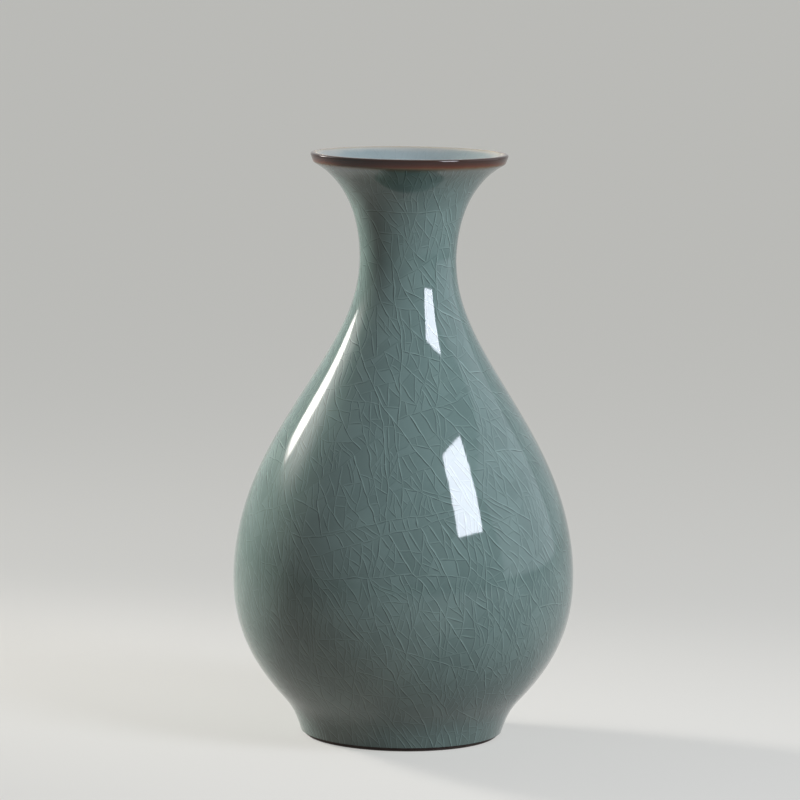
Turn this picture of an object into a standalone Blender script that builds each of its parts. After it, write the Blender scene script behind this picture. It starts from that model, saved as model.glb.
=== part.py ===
"""Pear-shaped celadon vase: thrown sections, the slip that lutes them together and their coats of glaze.

Lengths are in metres and +Z is up. The origin is the centre of the foot, on the table that it stands on.
An outline is a list of (radius, height) points in the half plane that is turned about the Z axis.
"""

import math
from dataclasses import dataclass

import bpy
from mathutils import Vector

# Outer form
BELLY_HEIGHT = 0.0905
SHOULDER_LENGTH = 0.1830
MOUTH_LENGTH = 0.0615
BELLY_RADIUS = 0.0976
NECK_RADIUS = 0.0277
MOUTH_RADIUS = 0.0563
LIP_THICKNESS = 0.0058
FLARE_ANGLE = math.radians(28.4)
FOOT_RADIUS = 0.0569
FOOT_HEIGHT = 0.0140
FOOT_LEAN = math.radians(21.7)

# Fullness of each curve: how far its end tangents reach, as a share of the curve's own height,
# or for the corner of the floor as a share of the way to where they meet
UNDERSIDE_FULLNESS = (0.13, 0.61)
SHOULDER_FULLNESS = (0.453, 0.31)
MOUTH_FULLNESS = (0.585, 0.267)
CORNER_FULLNESS = 0.6

# Walls, floor and foot
BELLY_WALL = 0.0072
NECK_WALL = 0.0066
FLOOR_THICKNESS = 0.0080
CORNER_RISE = 0.0140
FOOT_RING_WIDTH = 0.0082
FOOT_RECESS = 0.0070
FOOT_EDGE = 0.0008

# Coats of glaze, and how far each one reaches
GLAZE = 0.0010
BARE_FOOT = 0.0020
RIM_SKIRT = 0.0015

# Luted joints
BELLY_JOINT_RISE = 0.0200
NECK_JOINT_DROP = 0.0480
TONGUE_LENGTH = 0.0060
SPIGOT_DEPTH = 0.0020
SLIP = 0.0008

# Clearance between neighbouring pieces
GAP = 0.0003

# Facets around the axis and along each curve
SEGMENTS = 36
UNDERSIDE_STEPS = 7
SHOULDER_STEPS = 9
MOUTH_STEPS = 6
CORNER_STEPS = 4
LIP_STEPS = 6

# Derived sizes
NECK_HEIGHT = BELLY_HEIGHT + SHOULDER_LENGTH
HEIGHT = NECK_HEIGHT + MOUTH_LENGTH
COAT = GLAZE + GAP
JOINT = SLIP + 2 * GAP
LIP_RADIUS = LIP_THICKNESS / 2
LIP_CENTRE = Vector((MOUTH_RADIUS - LIP_RADIUS, HEIGHT - LIP_RADIUS))
FLOOR_UNDERSIDE = FOOT_RECESS + COAT
FLOOR_TOP = FLOOR_UNDERSIDE + FLOOR_THICKNESS + COAT
FOOT_SEAT = FLOOR_UNDERSIDE + SPIGOT_DEPTH
UP = Vector((0, 1))
OUT = Vector((1, 0))


@dataclass(frozen=True)
class Station:
    """A place on the wall: its outer face, the way inward, the thickness there and the run up to it."""

    face: Vector
    inward: Vector
    wall: float
    run: float


@dataclass(frozen=True)
class Finish:
    """A plain surface: its colour and its roughness."""

    colour: tuple
    roughness: float


def curve(start, start_reach, end_reach, end, steps):
    """Shares, points and unit tangents along a cubic curve, from its ends and how far its tangents reach."""
    points = (start, start + start_reach, end - end_reach, end)
    found = []
    for step in range(steps + 1):
        t = step / steps
        s = 1 - t
        weights = (s**3, 3 * s * s * t, 3 * s * t * t, t**3)
        slopes = (-s * s, s * s - 2 * s * t, 2 * s * t - t * t, t * t)
        place = sum((p * w for p, w in zip(points, weights)), Vector((0, 0)))
        tangent = sum((p * w for p, w in zip(points, slopes)), Vector((0, 0)))
        found.append((t, place, tangent.normalized()))
    return found


def polar(angle):
    """The unit vector at an angle from the outward direction."""
    return Vector((math.cos(angle), math.sin(angle)))


def inward_of(tangent):
    """The direction into the wall, from the direction up along its outer face."""
    return Vector((-tangent.y, tangent.x))


def foot_face(height):
    """A point on the outer face of the foot's straight wall."""
    return Vector((FOOT_RADIUS + height * math.tan(FOOT_LEAN), height))


def wall_stations():
    """The stations of the wall from the glaze line on the foot up to the lip's round."""
    foot_top = foot_face(FOOT_HEIGHT)
    belly = Vector((BELLY_RADIUS, BELLY_HEIGHT))
    neck = Vector((NECK_RADIUS, NECK_HEIGHT))
    lip = LIP_CENTRE - LIP_RADIUS * inward_of(polar(FLARE_ANGLE))
    foot_way = polar(math.pi / 2 - FOOT_LEAN)
    flare_way = polar(FLARE_ANGLE)
    sections = (
        (foot_top, foot_way, UNDERSIDE_FULLNESS, UP, belly, UNDERSIDE_STEPS, BELLY_WALL, BELLY_WALL),
        (belly, UP, SHOULDER_FULLNESS, UP, neck, SHOULDER_STEPS, BELLY_WALL, NECK_WALL),
        (neck, UP, MOUTH_FULLNESS, flare_way, lip, MOUTH_STEPS, NECK_WALL, LIP_THICKNESS),
    )
    glaze_line = foot_face(BARE_FOOT)
    found = [
        Station(glaze_line, inward_of(foot_way), BELLY_WALL, 0),
        Station(foot_top, inward_of(foot_way), BELLY_WALL, (foot_top - glaze_line).length),
    ]
    for start, start_way, fullness, end_way, end, steps, start_wall, end_wall in sections:
        span = end.y - start.y
        reaches = (start_way * fullness[0] * span, end_way * fullness[1] * span)
        for t, place, tangent in curve(start, *reaches, end, steps)[1:]:
            run = found[-1].run + (place - found[-1].face).length
            found.append(Station(place, inward_of(tangent), start_wall + t * (end_wall - start_wall), run))
    return found


STATIONS = wall_stations()
LIP_RUN = STATIONS[-1].run


def wall_at(run):
    """The wall at a run along its outer face, on the straight facet between two stations."""
    low = max(i for i, station in enumerate(STATIONS[:-1]) if station.run <= run or i == 0)
    before, after = STATIONS[low], STATIONS[low + 1]
    t = (run - before.run) / (after.run - before.run)
    wall = before.wall + t * (after.wall - before.wall)
    return Station(before.face.lerp(after.face, t), before.inward.lerp(after.inward, t), wall, run)


def from_outside(run, depth):
    """A point at a depth behind the wall's outer face."""
    station = wall_at(run)
    return station.face + station.inward * depth


def from_inside(run, depth):
    """A point at a depth behind the wall's inner face, which lines the cavity."""
    station = wall_at(run)
    return station.face + station.inward * (station.wall - depth)


def run_where(point_at, height):
    """The run where a line along the wall reaches a height, with the lowest facet drawn on to the table."""
    for before, after in zip(STATIONS, STATIONS[1:]):
        low, high = point_at(before.run).y, point_at(after.run).y
        if height <= high:
            return before.run + (height - low) / (high - low) * (after.run - before.run)
    raise ValueError(f"the wall never reaches the height {height}")


def clay_face(height):
    """A point at a height on the outer face of the clay, behind its coat."""
    return from_outside(run_where(lambda run: from_outside(run, COAT), height), COAT)


def line(point_at, low, high, depth):
    """The points of a line along the wall at one depth, from a low run to a high one."""
    between = [station.run for station in STATIONS if low < station.run < high]
    return [point_at(run, depth) for run in (low, *between, high)]


def outside(low, high, depth):
    """A line down the wall, at a depth behind its outer face."""
    return line(from_outside, low, high, depth)[::-1]


def inside(low, high, depth):
    """A line up the wall, at a depth behind its inner face."""
    return line(from_inside, low, high, depth)


FOOT_INNER_RADIUS = clay_face(0).x - FOOT_RING_WIDTH
CORNER_RUN = run_where(lambda run: from_inside(run, 0), FLOOR_TOP + CORNER_RISE)
BELLY_JOINT = run_where(lambda run: from_outside(run, 0), BELLY_HEIGHT + BELLY_JOINT_RISE)
NECK_JOINT = run_where(lambda run: from_outside(run, 0), NECK_HEIGHT - NECK_JOINT_DROP)


def floor_line(depth):
    """A line at a depth under the cavity's floor, from its centre out and round the corner to the wall."""
    top = from_inside(CORNER_RUN, 0)
    inward = wall_at(CORNER_RUN).inward.normalized()
    up_wall = Vector((inward.y, -inward.x))
    reach = (top.y - FLOOR_TOP) / up_wall.y
    edge = top - up_wall * reach - OUT * reach
    handle = reach * CORNER_FULLNESS
    bend = curve(edge, OUT * handle, up_wall * handle, top, CORNER_STEPS)
    return [Vector((0, FLOOR_TOP - depth))] + [place - inward_of(way) * depth for _, place, way in bend[:-1]]


def clay_middle(run, offset):
    """A point half way through the clay between its two coats, shifted inward by an offset."""
    station = wall_at(run)
    return station.face + station.inward * (station.wall / 2 + offset)


def tongue_top(joint):
    """The upper end of a section below a joint: a shoulder outside and a raised tongue inside."""
    return [
        from_inside(joint + TONGUE_LENGTH, COAT),
        clay_middle(joint + TONGUE_LENGTH, JOINT / 2),
        clay_middle(joint, JOINT / 2),
        from_outside(joint, COAT),
    ]


def rebate_bottom(joint):
    """The lower end of a section above a joint, which fits over the tongue with room for the slip."""
    return [
        from_outside(joint + JOINT, COAT),
        clay_middle(joint + JOINT, -JOINT / 2),
        clay_middle(joint + TONGUE_LENGTH + JOINT, -JOINT / 2),
        from_inside(joint + TONGUE_LENGTH + JOINT, COAT),
    ]


def slip_outline(joint):
    """The slip in a stepped joint, clear of the clay on both sides."""
    foot, head = joint + GAP, joint + JOINT - GAP
    return [
        from_inside(head + TONGUE_LENGTH, COAT),
        clay_middle(head + TONGUE_LENGTH, -SLIP / 2),
        clay_middle(head, -SLIP / 2),
        from_outside(head, COAT),
        from_outside(foot, COAT),
        clay_middle(foot, SLIP / 2),
        clay_middle(foot + TONGUE_LENGTH, SLIP / 2),
        from_inside(foot + TONGUE_LENGTH, COAT),
    ]


def lip_arc(depth):
    """The lip's round at a depth, from the cavity's side over the crest to the outer side."""
    turn = [FLARE_ANGLE + math.pi * (0.5 - step / LIP_STEPS) for step in range(LIP_STEPS + 1)]
    return [LIP_CENTRE + polar(angle) * (LIP_RADIUS - depth) for angle in turn]


def foot_ring_outline():
    """The bare ring that the vase stands on, with its edges eased."""
    top = FOOT_SEAT - JOINT
    return [
        clay_face(top),
        clay_face(FOOT_EDGE),
        clay_face(0) - OUT * FOOT_EDGE,
        Vector((FOOT_INNER_RADIUS + FOOT_EDGE, 0)),
        Vector((FOOT_INNER_RADIUS, FOOT_EDGE)),
        Vector((FOOT_INNER_RADIUS, top)),
    ]


def foot_joint_outline():
    """The slip between the foot ring and the floor: a washer on the ring and a collar around the spigot."""
    low, high = FOOT_SEAT - JOINT + GAP, FOOT_SEAT - GAP
    collar_out, collar_in = FOOT_INNER_RADIUS - GAP, FOOT_INNER_RADIUS - GAP - SLIP
    return [
        clay_face(high),
        clay_face(low),
        Vector((collar_out, low)),
        Vector((collar_out, FLOOR_UNDERSIDE)),
        Vector((collar_in, FLOOR_UNDERSIDE)),
        Vector((collar_in, high)),
    ]


def lower_body_outline():
    """The floor and the lower belly, with a spigot under the floor and a tongue at the top."""
    spigot = FOOT_INNER_RADIUS - JOINT
    seat_run = run_where(lambda run: from_outside(run, COAT), FOOT_SEAT)
    return [
        *floor_line(COAT),
        *inside(CORNER_RUN, BELLY_JOINT + TONGUE_LENGTH, COAT)[:-1],
        *tongue_top(BELLY_JOINT),
        *outside(seat_run, BELLY_JOINT, COAT)[1:],
        Vector((spigot, FOOT_SEAT)),
        Vector((spigot, FLOOR_UNDERSIDE)),
        Vector((0, FLOOR_UNDERSIDE)),
    ]


def upper_body_outline():
    """The upper belly and shoulder, between the two stepped joints."""
    return [
        *tongue_top(NECK_JOINT),
        *outside(BELLY_JOINT + JOINT, NECK_JOINT, COAT)[1:-1],
        *rebate_bottom(BELLY_JOINT),
        *inside(BELLY_JOINT + TONGUE_LENGTH + JOINT, NECK_JOINT + TONGUE_LENGTH, COAT)[1:-1],
    ]


def neck_outline():
    """The neck, the flare of the mouth and the lip."""
    return [
        *lip_arc(COAT),
        *outside(NECK_JOINT + JOINT, LIP_RUN, COAT)[1:-1],
        *rebate_bottom(NECK_JOINT),
        *inside(NECK_JOINT + TONGUE_LENGTH + JOINT, LIP_RUN, COAT)[1:-1],
    ]


def outer_glaze_outline():
    """The crackled coat, from the glaze line on the foot up to the brown rim."""
    top = LIP_RUN - RIM_SKIRT - GAP
    return outside(0, top, 0) + outside(0, top, GLAZE)[::-1]


def inner_glaze_outline():
    """The lining of the cavity, from the brown rim down over the floor."""
    top = LIP_RUN - RIM_SKIRT - GAP
    face = floor_line(0) + inside(CORNER_RUN, top, 0)
    back = floor_line(GLAZE) + inside(CORNER_RUN, top, GLAZE)
    return face + back[::-1]


def rim_glaze_outline():
    """The iron-brown band that wraps the lip."""
    foot = LIP_RUN - RIM_SKIRT
    face = [from_inside(foot, 0), *lip_arc(0), from_outside(foot, 0)]
    back = [from_inside(foot, GLAZE), *lip_arc(GLAZE), from_outside(foot, GLAZE)]
    return face + back[::-1]


def base_glaze_outline():
    """The dish of glaze in the recess under the floor, with a skirt down the inside of the foot ring."""
    rim = FOOT_INNER_RADIUS - GAP
    return [
        Vector((0, FOOT_RECESS + GLAZE)),
        Vector((rim, FOOT_RECESS + GLAZE)),
        Vector((rim, BARE_FOOT)),
        Vector((rim - GLAZE, BARE_FOOT)),
        Vector((rim - GLAZE, FOOT_RECESS)),
        Vector((0, FOOT_RECESS)),
    ]


def make_material(name, finish):
    """A plain surface with one colour."""
    material = bpy.data.materials.new(name)
    material.use_nodes = True
    shader = material.node_tree.nodes["Principled BSDF"]
    shader.inputs["Base Color"].default_value = (*finish.colour, 1.0)
    shader.inputs["Roughness"].default_value = finish.roughness
    shader.inputs["Metallic"].default_value = 0.0
    material.diffuse_color = (*finish.colour, 1.0)
    return material


def turned(name, outline, finish, collection):
    """One piece of the vase: its outline, turned about the Z axis."""
    on_axis = outline[0].x == 0
    count = len(outline)
    edges = [(i, (i + 1) % count) for i in range(count - on_axis)]
    mesh = bpy.data.meshes.new(name)
    mesh.from_pydata([(point.x, 0, point.y) for point in outline], edges, [])
    mesh.materials.append(make_material(name, finish))
    piece = bpy.data.objects.new(name, mesh)
    collection.objects.link(piece)
    screw = piece.modifiers.new("Turn", "SCREW")
    screw.axis = "Z"
    screw.angle = math.tau
    screw.steps = SEGMENTS
    screw.render_steps = SEGMENTS
    screw.use_merge_vertices = True
    screw.merge_threshold = 0.00001
    screw.use_smooth_shade = True
    return piece


BISCUIT_CLAY = Finish((0.55, 0.49, 0.41), 0.9)
LUTING_SLIP = Finish((0.45, 0.40, 0.33), 0.95)
BARE_CLAY = Finish((0.045, 0.030, 0.022), 0.8)
CELADON_GLAZE = Finish((0.24, 0.31, 0.28), 0.12)
BROWN_GLAZE = Finish((0.045, 0.016, 0.006), 0.15)

PIECES = (
    ("foot_ring", foot_ring_outline(), BARE_CLAY),
    ("lower_body", lower_body_outline(), BISCUIT_CLAY),
    ("upper_body", upper_body_outline(), BISCUIT_CLAY),
    ("neck", neck_outline(), BISCUIT_CLAY),
    ("foot_joint_slip", foot_joint_outline(), LUTING_SLIP),
    ("belly_joint_slip", slip_outline(BELLY_JOINT), LUTING_SLIP),
    ("neck_joint_slip", slip_outline(NECK_JOINT), LUTING_SLIP),
    ("outer_glaze", outer_glaze_outline(), CELADON_GLAZE),
    ("inner_glaze", inner_glaze_outline(), CELADON_GLAZE),
    ("base_glaze", base_glaze_outline(), CELADON_GLAZE),
    ("rim_glaze", rim_glaze_outline(), BROWN_GLAZE),
)


def main():
    """Clears the scene and builds the vase."""
    for existing in list(bpy.data.objects):
        bpy.data.objects.remove(existing)
    vase = bpy.data.collections.new("celadon_vase")
    bpy.context.scene.collection.children.link(vase)
    for name, outline, finish in PIECES:
        turned(name, outline, finish, vase)


main()
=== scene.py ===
"""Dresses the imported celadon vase: a crackled coat, an iron-brown lip and a bare foot, in studio light."""

import logging
import math
import random
from dataclasses import dataclass, replace
from enum import Enum
from typing import ClassVar

import bmesh
import bpy
import numpy as np
from mathutils import Euler, Matrix, Vector, noise


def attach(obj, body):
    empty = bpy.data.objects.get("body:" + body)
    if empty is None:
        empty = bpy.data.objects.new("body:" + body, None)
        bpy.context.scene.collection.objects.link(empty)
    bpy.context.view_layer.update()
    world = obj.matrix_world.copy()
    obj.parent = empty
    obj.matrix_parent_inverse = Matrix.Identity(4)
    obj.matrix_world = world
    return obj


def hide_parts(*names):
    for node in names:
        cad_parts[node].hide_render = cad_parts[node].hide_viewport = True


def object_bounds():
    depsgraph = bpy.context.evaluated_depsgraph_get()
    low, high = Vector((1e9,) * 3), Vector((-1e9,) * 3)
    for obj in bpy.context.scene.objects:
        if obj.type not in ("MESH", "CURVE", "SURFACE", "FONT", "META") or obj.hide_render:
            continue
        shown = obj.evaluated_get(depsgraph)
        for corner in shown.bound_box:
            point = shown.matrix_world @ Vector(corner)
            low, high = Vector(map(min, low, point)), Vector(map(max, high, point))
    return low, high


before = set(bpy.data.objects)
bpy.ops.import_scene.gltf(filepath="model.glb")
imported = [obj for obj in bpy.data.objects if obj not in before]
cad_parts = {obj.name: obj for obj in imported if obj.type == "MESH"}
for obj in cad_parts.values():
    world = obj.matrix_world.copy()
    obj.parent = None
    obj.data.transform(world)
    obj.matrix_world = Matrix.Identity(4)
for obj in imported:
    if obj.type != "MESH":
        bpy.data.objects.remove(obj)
CAD_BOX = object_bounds()
BODY = "root"

MM = 0.001
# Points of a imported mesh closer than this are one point.
SAME_POINT = 1e-6
# A section turns more sharply than this only at the ends of a face.
CORNER_TURN = math.radians(50.0)
# Keeps a division away from zero.
TINY = 1e-9

log = logging.getLogger("vase")


class Slot(Enum):
    """The record's material slots that the new pieces take their finish from."""

    CELADON = "celadon_glaze"
    BROWN = "brown_glaze"
    BARE_CLAY = "bare_clay"


class Cut(Enum):
    """How a crack crosses its crackle cell."""

    ALONG = "along"
    ACROSS = "across"


class FaceKind(Enum):
    """What a face of a crackled coat is: the side of a crack, the top of a cell, or neither."""

    PLAIN = 0
    CRACK_SIDE = 1
    TOP = 2


def linear(colour: str) -> tuple[float, float, float, float]:
    """Turns an sRGB hex colour into linear RGBA.

    Args:
        colour: Colour as "#rrggbb".

    Returns:
        The linear red, green, blue and an alpha of 1.
    """
    levels = [int(colour[place:place + 2], 16) / 255 for place in (1, 3, 5)]
    return tuple(c / 12.92 if c <= 0.04045 else ((c + 0.055) / 1.055) ** 2.4 for c in levels) + (1.0,)


def per_metre(size: float) -> float:
    """Gives the scale of a pattern whose features are this many millimetres apart."""
    return 1.0 / (size * MM)


def fill(tree: bpy.types.NodeTree, node: bpy.types.Node, inputs: dict) -> None:
    """Fills or links inputs of a node.

    Args:
        tree: The node's tree.
        node: The node.
        inputs: Input sockets by name or number, each with a value, with the output to link to it, or
            with a node whose first output in use is linked.
    """
    for socket, value in inputs.items():
        if isinstance(value, bpy.types.Node):
            value = next(output for output in value.outputs if output.enabled)
        if isinstance(value, bpy.types.NodeSocket):
            tree.links.new(value, node.inputs[socket])
        else:
            node.inputs[socket].default_value = value


def add_node(tree: bpy.types.NodeTree, kind: str, inputs: dict | None = None, **settings) -> bpy.types.Node:
    """Adds a node with its settings, and fills or links its inputs.

    Args:
        tree: The tree that gets the node.
        kind: Blender's name for the kind of node.
        inputs: Input sockets with what goes into them, as in fill.
        settings: The node's own properties; stops are a colour ramp's (place, colour) pairs.

    Returns:
        The new node.
    """
    node = tree.nodes.new(kind)
    for i, (place, colour) in enumerate(settings.pop("stops", ())):
        stops = node.color_ramp.elements
        stop = stops[i] if i < 2 else stops.new(place)
        stop.position = place
        stop.color = linear(colour)
    for name, value in settings.items():
        setattr(node, name, value)
    fill(tree, node, inputs or {})
    return node


def new_material(name: str) -> tuple[bpy.types.Material, bpy.types.NodeTree, bpy.types.Node]:
    """Starts a material.

    Args:
        name: The material's name.

    Returns:
        The material, its node tree and its Principled BSDF.
    """
    material = bpy.data.materials.new(name)
    material.use_nodes = True
    tree = material.node_tree
    return material, tree, tree.nodes["Principled BSDF"]


@dataclass(frozen=True)
class CeladonGlaze:
    """Thick celadon glaze, fired glossy: an even grey-green glass with faint clouds and a fine ripple.

    The glass looks deeper where it lies fat and paler where it is thin. Towards the lip it takes on
    the edge colour, and low on the foot it pools a little darker. Along each crack the glass is
    stained dark, with painted shade on one side of the crack and a painted highlight on the other,
    as if light fell from above and to the right.
    """

    name: str
    body: str = "#68817c"
    deep: str = "#637c77"
    pale: str = "#6f8882"
    pooled: str = "#5b7069"
    # The two crack-side colours: a dark staining deepened by painted shade, and a painted highlight.
    stain_and_painted_shade: str = "#374944"
    painted_glint: str = "#90aca5"
    edge: str = "#6b6a58"
    edge_height: float = 0.0
    edge_drop: float = 1.6
    edge_share: float = 0.8
    cloud: float = 26.0
    speck: float = 1.6
    ripple: float = 9.0
    ripple_depth: float = 0.012
    pool_top: float = 24.0
    pool_share: float = 0.8
    speck_share: float = 0.5
    roughness: tuple[float, float] = (0.035, 0.07)
    ior: float = 1.55

    def material(self) -> bpy.types.Material:
        """Builds the glaze's nodes on Object coordinates.

        Returns:
            The material.
        """
        material, tree, shader = new_material(self.name)
        place = add_node(tree, "ShaderNodeTexCoord").outputs["Object"]
        height = add_node(tree, "ShaderNodeSeparateXYZ", {0: place}).outputs["Z"]
        clouds, specks, ripples = (
            add_node(
                tree, "ShaderNodeTexNoise",
                {"Vector": place, "Scale": per_metre(size), "Detail": detail, "Roughness": 0.5},
            )
            for size, detail in ((self.cloud, 3.0), (self.speck, 2.0), (self.ripple, 1.0))
        )
        drop = self.edge_drop * MM
        wander = add_node(tree, "ShaderNodeMapRange", {"Value": clouds, "To Min": -drop, "To Max": drop})
        edge_place = add_node(tree, "ShaderNodeMath", {0: height, 1: wander}, operation="ADD")
        # Per corner: staining and painted shade below zero, painted highlight above zero, random tone on cell
        # tops.
        stain_and_painted_light = add_node(tree, "ShaderNodeAttribute", attribute_name=Crackle.STAIN_AND_PAINTED_LIGHT).outputs["Fac"]
        colour = add_node(
            tree, "ShaderNodeValToRGB", {"Fac": clouds},
            stops=((0.32, self.deep), (0.52, self.body), (0.72, self.pale)),
        )
        for tint, measure, start, full, most, curve in (
            (self.pale, specks, 0.55, 0.80, self.speck_share, "LINEAR"),
            (self.pooled, height, self.pool_top * MM, 0.0, self.pool_share, "LINEAR"),
            (self.edge, edge_place, self.edge_height - drop, self.edge_height, self.edge_share, "SMOOTHSTEP"),
            # The last two rows mix in the crack sides: staining with painted shade, then the painted
            # highlight.
            (self.stain_and_painted_shade, stain_and_painted_light, 0.0, -1.0, 1.0, "LINEAR"),
            (self.painted_glint, stain_and_painted_light, 0.0, 1.0, 1.0, "LINEAR"),
        ):
            share = add_node(
                tree, "ShaderNodeMapRange",
                {"Value": measure, "From Min": start, "From Max": full, "To Max": most},
                interpolation_type=curve,
            )
            colour = add_node(
                tree, "ShaderNodeMix", {"Factor": share, 6: colour, 7: linear(tint)}, data_type="RGBA",
            )
        smooth, dull = self.roughness
        gloss = add_node(tree, "ShaderNodeMapRange", {"Value": specks, "To Min": smooth, "To Max": dull})
        bump = add_node(
            tree, "ShaderNodeBump", {"Height": ripples, "Strength": 1.0, "Distance": self.ripple_depth * MM},
        )
        fill(tree, shader, {"Base Color": colour, "Roughness": gloss, "Normal": bump, "IOR": self.ior})
        return material


@dataclass(frozen=True)
class IronBrownGlaze:
    """Iron-brown lip glaze: dark and glossy where it is thick, tan where it thins over the crest.

    The bands follow the angle round the lip's own section, from the seam with the outer coat, over
    the crest, to the seam with the lining.
    """

    name: str
    centre: tuple[float, float]
    bands: tuple[tuple[float, str], ...] = (
        (-88.0, "#6b6a58"),
        (-72.0, "#726750"),
        (-54.0, "#6b4d30"),
        (-40.0, "#622e14"),
        (-5.0, "#4a1f0e"),
        (30.0, "#33140a"),
        (66.0, "#331709"),
        (79.0, "#9a6535"),
        (91.0, "#d0bd9a"),
        (116.0, "#c6c1b0"),
        (148.0, "#bcbfb8"),
    )
    patch: float = 6.0
    wander: float = 9.0
    roughness: tuple[float, float] = (0.05, 0.14)
    ior: float = 1.5

    def material(self) -> bpy.types.Material:
        """Builds the bands over the lip.

        Returns:
            The material.
        """
        material, tree, shader = new_material(self.name)
        place = add_node(tree, "ShaderNodeTexCoord").outputs["Object"]
        height = add_node(tree, "ShaderNodeSeparateXYZ", {0: place}).outputs["Z"]
        flat = add_node(tree, "ShaderNodeVectorMath", {0: place, 1: (1.0, 1.0, 0.0)}, operation="MULTIPLY")
        radius = add_node(tree, "ShaderNodeVectorMath", {0: flat}, operation="LENGTH")
        out, rise = (
            add_node(tree, "ShaderNodeMath", {0: measure, 1: middle}, operation="SUBTRACT")
            for measure, middle in zip((radius, height), self.centre)
        )
        angle = add_node(tree, "ShaderNodeMath", {0: rise, 1: out}, operation="ARCTAN2")
        patches = add_node(
            tree, "ShaderNodeTexNoise", {"Vector": place, "Scale": per_metre(self.patch), "Detail": 3.0},
        )
        most = math.radians(self.wander)
        sway = add_node(tree, "ShaderNodeMapRange", {"Value": patches, "To Min": -most, "To Max": most})
        swayed = add_node(tree, "ShaderNodeMath", {0: angle, 1: sway}, operation="ADD")
        first, last = self.bands[0][0], self.bands[-1][0]
        share = add_node(
            tree, "ShaderNodeMapRange",
            {"Value": swayed, "From Min": math.radians(first), "From Max": math.radians(last)},
        )
        colour = add_node(
            tree, "ShaderNodeValToRGB", {"Fac": share},
            stops=tuple(((band - first) / (last - first), tint) for band, tint in self.bands),
        )
        smooth, dull = self.roughness
        gloss = add_node(tree, "ShaderNodeMapRange", {"Value": patches, "To Min": smooth, "To Max": dull})
        fill(tree, shader, {"Base Color": colour, "Roughness": gloss, "IOR": self.ior})
        return material


@dataclass(frozen=True)
class FiredClay:
    """Unglazed stoneware body: a dry, slightly gritty face, toasted where the fire reached it."""

    name: str
    body: str
    toast: str
    cloud: float = 6.0
    grit: float = 0.7
    grit_depth: float = 0.06
    roughness: tuple[float, float] = (0.7, 0.95)

    def material(self) -> bpy.types.Material:
        """Builds the toasted patches and the grit.

        Returns:
            The material.
        """
        material, tree, shader = new_material(self.name)
        place = add_node(tree, "ShaderNodeTexCoord").outputs["Object"]
        clouds, grit = (
            add_node(
                tree, "ShaderNodeTexNoise", {"Vector": place, "Scale": per_metre(size), "Detail": detail},
            )
            for size, detail in ((self.cloud, 4.0), (self.grit, 2.0))
        )
        colour = add_node(
            tree, "ShaderNodeValToRGB", {"Fac": clouds}, stops=((0.32, self.toast), (0.68, self.body)),
        )
        smooth, dull = self.roughness
        rough = add_node(tree, "ShaderNodeMapRange", {"Value": grit, "To Min": smooth, "To Max": dull})
        bump = add_node(
            tree, "ShaderNodeBump", {"Height": grit, "Strength": 1.0, "Distance": self.grit_depth * MM},
        )
        fill(tree, shader, {"Base Color": colour, "Roughness": rough, "Normal": bump})
        return material


def read_outline(node: str) -> np.ndarray:
    """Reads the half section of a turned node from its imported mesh.

    Args:
        node: The node's name.

    Returns:
        Rows of radius and height in metres, in order round the section.
    """
    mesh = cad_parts[node].data
    keys = [tuple(round(c / SAME_POINT) for c in vertex.co) for vertex in mesh.vertices]
    links: dict[tuple[int, int], list[tuple[int, int]]] = {}
    for edge in mesh.edges:
        first, second = (keys[index] for index in edge.vertices)
        if abs(first[1]) > 1 or abs(second[1]) > 1 or min(first[0], second[0]) < 0 or first == second:
            continue
        ends = (first[0], first[2]), (second[0], second[2])
        for here, there in (ends, ends[::-1]):
            if there not in links.setdefault(here, []):
                links[here].append(there)
    loose = sorted(key for key, near in links.items() if len(near) == 1)
    walk = [loose[0] if loose else min(links)]
    while True:
        onward = [key for key in links[walk[-1]] if key not in walk[-2:] and key not in walk]
        if not onward:
            break
        walk.append(onward[0])
    return np.array(walk) * SAME_POINT


def faces_of(outline: np.ndarray) -> list[np.ndarray]:
    """Splits a section at its sharp corners.

    Args:
        outline: Rows of radius and height round the section.

    Returns:
        The stretches between corners, each with both its ends.
    """
    before = outline - np.roll(outline, 1, axis=0)
    after = np.roll(outline, -1, axis=0) - outline
    cross = before[:, 0] * after[:, 1] - before[:, 1] * after[:, 0]
    turn = np.abs(np.arctan2(cross, (before * after).sum(axis=1)))
    corners = np.flatnonzero(turn > CORNER_TURN)
    rounds = np.roll(np.arange(len(outline)), -corners[0])
    starts = [int(np.flatnonzero(rounds == corner)[0]) for corner in corners] + [len(outline)]
    return [
        outline[np.append(rounds, rounds[0])[start:end + 1]]
        for start, end in zip(starts, starts[1:])
    ]


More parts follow.
